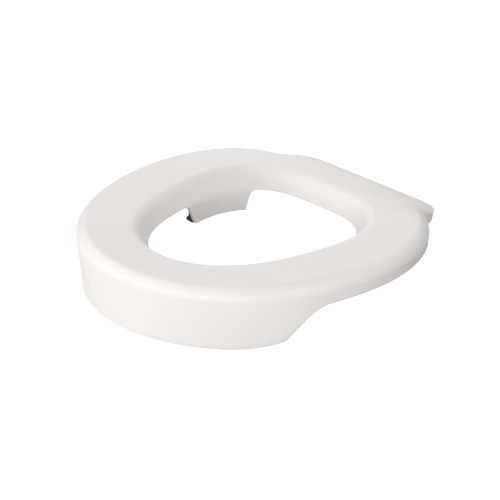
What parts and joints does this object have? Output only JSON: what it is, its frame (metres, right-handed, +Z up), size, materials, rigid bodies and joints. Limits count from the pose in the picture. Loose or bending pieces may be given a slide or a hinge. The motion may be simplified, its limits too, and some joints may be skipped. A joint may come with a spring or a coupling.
{
  "type": "raised toilet seat",
  "caption": "Egg-shaped moulded toilet seat raiser with a round-edged opening, a deep front skirt, a straight rear edge and sliding hooks that clamp it under the rim of the bowl.",
  "frame": {"origin": "under the middle of the seat's outline, level with the lowest edge of the front skirt", "axes": "+X to the right as seen from the front, +Y towards the straight rear edge, -Y towards the front skirt, +Z up, square to the sitting surface"},
  "size_m": [0.3912, 0.4064, 0.075],
  "materials": {
    "shell_plastic": "white moulded plastic, satin",
    "base_plastic": "off-white moulded plastic, fine grain",
    "hook_metal": "black powder-coated steel",
    "grip_rubber": "black rubber",
    "pad_rubber": "dark grey rubber",
    "screw_steel": "zinc-plated steel",
    "clamp_metal": "black coated steel"
  },
  "bodies": {
    "seat": {"seat_shell": "shell_plastic", "base_plate": "base_plastic", "base_screw_1": "screw_steel", "base_screw_2": "screw_steel", "base_screw_3": "screw_steel", "base_screw_4": "screw_steel", "base_screw_5": "screw_steel", "base_screw_6": "screw_steel", "base_screw_7": "screw_steel", "base_screw_8": "screw_steel", "rim_pad_front_left": "pad_rubber", "rim_pad_front_right": "pad_rubber", "rim_pad_side_left": "pad_rubber", "rim_pad_side_right": "pad_rubber", "rim_pad_rear_left": "pad_rubber", "rim_pad_rear_right": "pad_rubber", "skirt_bumper_left": "pad_rubber", "skirt_bumper_front": "pad_rubber", "skirt_bumper_right": "pad_rubber"},
    "left_hook": {"hook_left": "hook_metal", "hook_grip_left": "grip_rubber"},
    "right_hook": {"hook_right": "hook_metal", "hook_grip_right": "grip_rubber"},
    "left_clamp": {"clamp_screw_left": "clamp_metal", "clamp_washer_left": "screw_steel"},
    "right_clamp": {"clamp_screw_right": "clamp_metal", "clamp_washer_right": "screw_steel"}
  },
  "joints": [
    {"name": "left_hook_slide", "type": "slide", "parent": "seat", "child": "left_hook", "axis": [-1, 0, 0], "range_m": [0, 0.01]},
    {"name": "right_hook_slide", "type": "slide", "parent": "seat", "child": "right_hook", "axis": [1, 0, 0], "range_m": [0, 0.01]},
    {"name": "left_clamp_turn", "type": "hinge", "parent": "seat", "child": "left_clamp", "pos_m": [-0.14086, 0.04035, 0.055], "axis": [0, 0, 1], "range_deg": [0, 540]},
    {"name": "right_clamp_turn", "type": "hinge", "parent": "seat", "child": "right_clamp", "pos_m": [0.14086, 0.04035, 0.055], "axis": [0, 0, 1], "range_deg": [0, 540]}
  ]
}
